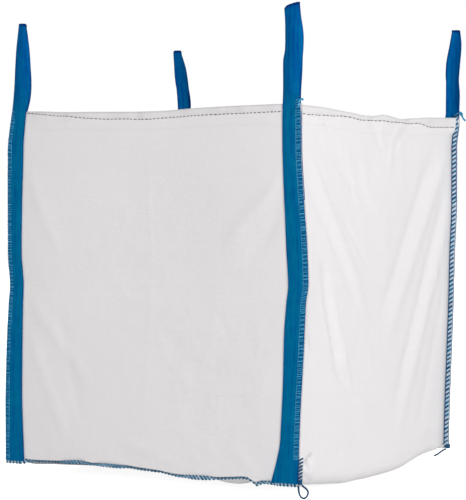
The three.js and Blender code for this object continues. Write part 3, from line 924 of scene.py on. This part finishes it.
def webbing(name, corner):
    sx, sy = corner["side"]
    height, opening, leg, share = webbing_line(corner)
    rise = height - HEM_Z
    edges = strap_edges(corner, np.minimum(height, HEM_Z + corner["crown"] - corner["gap"]))
    middle, half = edges.mean(-1), (edges[:, 1] - edges[:, 0]) / 2
    # The leg on the far side of the view lies a little to the left, as each loop has twisted.
    apart = opening * (1 + sy * leg)
    middle = middle - sx * 0.6 * apart * smooth((rise - 0.05) / 0.08)
    flatter = 0.35 + 0.65 * smooth(1.6 - 1.6 * share**6)
    cup = corner["cup"] * smooth((rise + 0.02) / 0.07) * flatter
    cup += 0.0022 * (rise < 0)
    near_crown = smooth((rise - corner["crown"] + 0.055) / 0.05)
    v = ACROSS[None, :]
    x = middle[:, None] + half[:, None] * v
    bulge = cup[:, None] * (1 - np.abs(v) ** 2.2)
    out = PANEL_Y + (leg * opening)[:, None] + bulge
    # The return leg lies flat inside the bag.
    inside = (leg < 0) * smooth((0.01 - rise) / 0.02)
    out = out - bulge * inside[:, None] * 0.9
    out = out + corner["lean_out"] * share[:, None] ** 1.5
    out = out + 0.0006 * noise(height[:, None], 9.0 + 0.3 * v, 0.05, 120 + sx + 2 * sy)
    z = height[:, None] + near_crown[:, None] * along(corner["ridge"], ACROSS)[None, :]
    # The outer leg's end is sewn into the bottom seam and follows its line.
    seam, _, _ = bottom_fin(np.clip(sx * x, -FIN_EDGE, FIN_EDGE), sy)
    z = z + (seam - SEAM_Z) * smooth((SEAM_Z + 0.05 - height) / 0.06)[:, None]
    # On the strap the webbing follows the panel that it is sewn to.
    sewn = smooth(-rise / 0.03)[:, None]
    out = out + sewn * off_line(sx * x, z, sy)
    grid = stray(joined(sx * x, sy * out, z), flare=False)
    reach = distances(grid[:, len(ACROSS) // 2])
    # Painted shade: the webbing is darker along its edges, where it curls away, and on the crown's top, where
    # it turns over.
    crown = smooth((rise - corner["crown"] + 0.011) / 0.007)[:, None]
    edge = 0.35 * smooth((np.abs(v) - 0.85) / 0.15) + 0.6 * crown
    cloth = joined(x, reach[:, None], edge)
    if sx * sy > 0:
        grid, cloth = grid[:, ::-1], cloth[:, ::-1]
    made = shell("webbing_" + name, grid, WEB, WEBBING_MATERIAL, cloth)
    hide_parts("strap_" + name, "strap_end_" + name, "loop_" + name)
    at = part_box("loop_" + name)
    x_mid, y_mid = (at[0].x + at[1].x) / 2, (at[0].y + at[1].y) / 2
    low, high = (x_mid, y_mid, HEM_Z + BLEND_FROM), (x_mid, y_mid, HEM_Z + BLEND_TO)
    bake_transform(made)
    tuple(low)
    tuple(high)


# ---- Overlock seams ----
def staples(place, outline, starts, generator, jitter):
    """Short threads, each laid along the outline from its start; points are (inward, outward, along)."""
    paths = []
    for start in starts:
        shift = jitter * generator.uniform(-1, 1, 3)
        path = []
        for number, (inward, outward, rise) in enumerate(outline):
            inner = 0.1 < number / len(outline) < 0.9
            inward = inward + shift[0] * 0.5 * inner
            path.append((inward, outward + abs(shift[1]) * 0.3, start + shift[2] + rise))
        paths.append(place(spline(path, len(path) * 2)))
    return paths


def overlock(
    name, node, place, start, end, face, under, generator, reach=0.0128, slant=1.0, pitch=THREAD_PITCH,
    inset=0.0, foot=None, knot=None, lined=True,
):
    """Thick yarn slanting over the under face, fine threads over both faces, and the needle line.

    `place` puts points (distance in from the edge, offset outwards, distance along) on the bag; `face` and
    `under` are the faces' offsets. `inset` keeps the thick yarn back from the edge. Below `foot` the cloth is
    bare and the thick yarn shows on both faces. `knot` is (distance in, radius) of a closing knot. `lined`
    seams show their needle line, and the thick yarn's own line along the under face."""
    middle = (face + under) / 2
    bar = [
        (0.0012, under + 0.0012, 0.0062), (-0.0004, under + 0.0004, 0.006), (0.0, under - 0.0002, 0.0054),
        (0.3 * reach, under - 0.0008, 0.0034), (0.7 * reach, under - 0.0009, 0.0008),
        (reach, under - 0.0004, -0.0012), (reach + 0.001, under + 0.0014, -0.0016),
    ]
    bar = [(max(a, inset + 0.2 * a), o, slant * rise) for a, o, rise in bar]
    # Two yarns lie side by side in each bar.
    starts = np.arange(start, end - 0.004, pitch)
    starts = np.sort(np.concatenate([starts - 0.0011, starts + 0.0011]))
    yarns = staples(place, bar, starts, generator, 0.0006)
    light_from = start
    if foot is not None:
        cloth_face = face - 0.0034
        bare = [
            (0.002, cloth_face + 0.0004, -0.001), (0.0, cloth_face + 0.001, 0.0002),
            (-0.45 * FLARE, cloth_face + 0.001, 0.003), (-FLARE, cloth_face + 0.0006, 0.0056),
            (-FLARE - 0.001, middle, 0.0062),
        ]
        for first in (start, start + 0.0021):
            yarns += staples(place, bare, np.arange(first, foot, 0.0088), generator, 0.0007)
        light_from = foot
    if knot is not None:
        turn = np.linspace(0, 9 * math.pi, 90)
        inward = knot[0] + knot[1] * np.cos(turn)
        yarns.append(place(joined(inward, middle + knot[1] * np.sin(turn), start - 0.005 + 0.0004 * turn)))
    along_seam = np.arange(light_from + 0.004, end - 0.002, 0.0022)
    if lined:
        line = joined(reach + 0.0008, under - 0.0006, along_seam)
        yarns.append(place(spline(line, 2 * len(along_seam))))
    thick = tubes("overlock_yarn_" + name, yarns, YARN_RADIUS, YARN_MATERIAL)
    top = [
        (reach + 0.0006, face - 0.0012, 0.0), (reach, face + 0.0002, 0.0002),
        (0.6 * reach, face + 0.0007, 0.0008), (0.2 * reach, face + 0.0005, 0.0013),
        (0.0014, face - 0.0002, 0.0018), (0.0014, middle, 0.0022),
    ]
    below = [
        (0.0008 + inset, under + 0.001, 0.0052), (inset, under - 0.0002, 0.0052),
        (0.5 * reach, under - 0.0005, 0.0016), (reach, under + 0.0002, -0.0012),
    ]
    below = [(a, o, slant * rise) for a, o, rise in below]
    fine_top = staples(place, top, np.arange(light_from, end, 0.0034), generator, 0.0024)
    fine_below = staples(place, below, np.arange(start + 0.003, end - 0.005, pitch / 3), generator, 0.0012)
    if lined:
        wave = np.sin(along_seam * 1428)
        needle = joined(reach + 0.0008, face + 0.0002 + 0.0007 * wave, along_seam)
        fine_top.append(place(spline(needle, 3 * len(along_seam))))
    light = tubes("overlock_loopers_" + name, fine_top, LOOPER_RADIUS, LOOPER_MATERIAL, 5, FINE_MATERIAL)
    pale = tubes("overlock_fine_" + name, fine_below, FINE_RADIUS, PALE_MATERIAL, 5, LOOPER_MATERIAL)
    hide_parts(node)
    for made in (thick, light, pale):
        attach(made, "bag")


def corner_seam(name, corner):
    sx, sy = corner["side"]

    def place(points):
        """Each point is (distance in from the seam's edge, offset out from the bag, height)."""
        z = points[:, 2]
        x = strap_edges(corner, z)[:, 1] - points[:, 0]
        out = points[:, 1] + off_line(sx * np.minimum(x, FIN_EDGE), z, sy)
        return stray(joined(sx * x, sy * out, z), flare=False)

    overlock(
        name, "overlock_" + name, place, start=FIN_Z + 0.006, end=corner.get("sewn_top", SEWN_TOP_Z) - 0.006,
        face=PANEL_Y + 0.0044, under=FLANGE_Y - 0.0012,
        generator=np.random.default_rng(200 + sx + 2 * sy), **corner.get("seam", {}),
    )


def bottom_seam(name, sy):
    middle = (PANEL_Y + FLANGE_Y) / 2

    def place(points):
        """Each point is (distance up from the fin's edge, offset out from the bag, x)."""
        reach, out, x = points.T
        seam, _, tuck = bottom_fin(x, sy)
        down, depth = FIN - reach, out - middle
        y = middle - down * np.sin(tuck) + depth * np.cos(tuck)
        z = seam - down * np.cos(tuck) - depth * np.sin(tuck)
        return stray(joined(x, sy * (y + off_line(x, np.full_like(x, SEAM_Z), sy)), z))

    # The faces change places with the corners': here the slanting yarn is on the panel's side.
    overlock(
        "bottom_" + name, "overlock_" + name + "_bottom", place, start=-FIN_EDGE + 0.003,
        end=FIN_EDGE - 0.004, face=middle - 0.0032, under=middle + 0.0034,
        generator=np.random.default_rng(300 + sy), slant=0.3, pitch=0.0108, lined=False,
    )


# ---- Hem stitches ----
def hem_stitches(name, place, reach, dash, gap):
    """Dashes of a chain stitch along one side's hem."""
    generator = np.random.default_rng(400 + len(name))
    dashes, at = [], -reach
    while at < reach - 0.003:
        length = min(dash * generator.uniform(0.7, 1.3), reach - at)
        t = np.linspace(0, 1, 7)
        line = at + t * length
        lift = 0.0008 * np.sin(math.pi * t) ** 0.5 - 0.0001
        dashes.append(place(line, lift))
        at += length + gap * generator.uniform(0.8, 1.2)
    made = tubes("hem_chain_" + name, dashes, HEM_THREAD_RADIUS, HEM_MATERIAL)
    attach(made, "bag")
    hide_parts("hem_stitch_" + name)


def on_hem(hem, depth, side, seed):
    """Puts points (position along the hem, lift off the cloth) on a panel's or a wall's stitch line."""
    def place(at, lift):
        top, stitch = hem(at, side)
        z = top - stitch + 0.0005 * noise(at, 0.0, 0.03, seed)
        out = side * (depth(at, z, side) + CLOTH / 2 + lift)
        return stray(joined(at, out, z) if depth is panel_depth else joined(out, at, z))

    return place


# ---- The whole bag ----
panel("front_panel", -1)
panel("back_panel", 1)
u_panel()
for corner_name, facts in CORNERS.items():
    webbing(corner_name, facts)
    corner_seam(corner_name, facts)
bottom_seam("front", -1)
bottom_seam("back", 1)
for side_name, side in (("front", -1), ("back", 1)):
    line = on_hem(panel_hem, panel_depth, side, 77)
    hem_stitches(side_name, line, STRAP_INNER + 0.01, dash=0.0072, gap=0.0052)
for side_name, side in (("right", 1), ("left", -1)):
    line = on_hem(wall_hem, wall_depth, side, 78)
    hem_stitches(side_name, line, HALF - 0.001, dash=0.014, gap=0.0072)


# ---- Floor, light and view ----
def floor():
    bpy.ops.mesh.primitive_plane_add(size=30)
    plane = bpy.context.object
    plane.name = "floor"
    n = Nodes("pale_floor")
    n.surface((0.9, 0.9, 0.9, 1), 0.9, 0.0)
    n.shader.inputs["Emission Color"].default_value = (1, 1, 1, 1)
    # What is seen of the floor is lifted to near white; the bag is lit by little more than its plain grey.
    seen = n.add("ShaderNodeLightPath").outputs["Is Camera Ray"]
    n.feed(n.shader.inputs["Emission Strength"], n.plus(n.times(seen, 0.78), 0.06))
    plane.data.materials.append(n.material)


def key_light():
    light = bpy.data.lights.new("key", "AREA")
    light.shape = "DISK"
    light.size = 1.4
    light.energy = 150
    lamp = bpy.data.objects.new("key", light)
    lamp.location = (4.2, -2.8, 3.6)
    aim = Vector((0, 0, 0.5)) - lamp.location
    lamp.rotation_euler = aim.to_track_quat("-Z", "Y").to_euler()
    scene.collection.objects.link(lamp)


def studio():
    world = bpy.data.worlds.new("studio")
    scene.world = world
    world.use_nodes = True
    tree = world.node_tree
    background = tree.nodes["Background"]
    background.inputs["Color"].default_value = (1, 1, 1, 1)
    rays = tree.nodes.new("ShaderNodeLightPath")
    strength = tree.nodes.new("ShaderNodeMapRange")
    strength.inputs["To Min"].default_value = 0.585
    strength.inputs["To Max"].default_value = 1.0
    tree.links.new(rays.outputs["Is Camera Ray"], strength.inputs["Value"])
    tree.links.new(strength.outputs[0], background.inputs["Strength"])
    scene.view_settings.view_transform = "Standard"


floor()
studio()
key_light()
